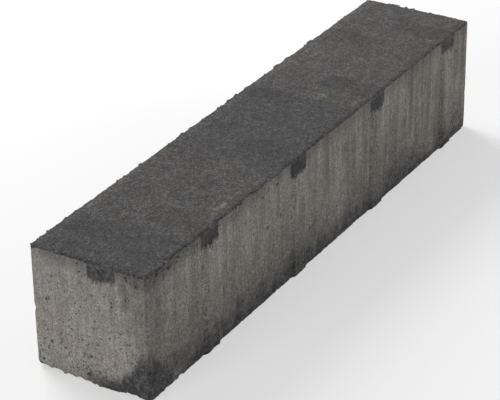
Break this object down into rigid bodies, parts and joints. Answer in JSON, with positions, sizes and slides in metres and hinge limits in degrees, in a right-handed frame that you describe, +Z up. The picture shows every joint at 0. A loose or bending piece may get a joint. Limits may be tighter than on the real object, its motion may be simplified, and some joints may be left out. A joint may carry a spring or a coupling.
{
  "type": "concrete paver",
  "caption": "Long, nearly square-section concrete kerb paver with a fine arris round its top face and low upright spacer nibs on its sides and ends.",
  "frame": {"origin": "centre of the bed face, the flat underside that the block rests on", "axes": "+X along the block's length, +Y across it, +Z up towards the faced top"},
  "size_m": [0.6, 0.12, 0.12],
  "materials": {
    "concrete": "Pressed concrete straight from the mould: anthracite facing concrete on the top, the arris and just above each nib, and warm grey sides with upright drag streaks, small pores and a damp dark stain along the foot."
  },
  "bodies": {
    "root": {"paver": "concrete"}
  },
  "joints": []
}
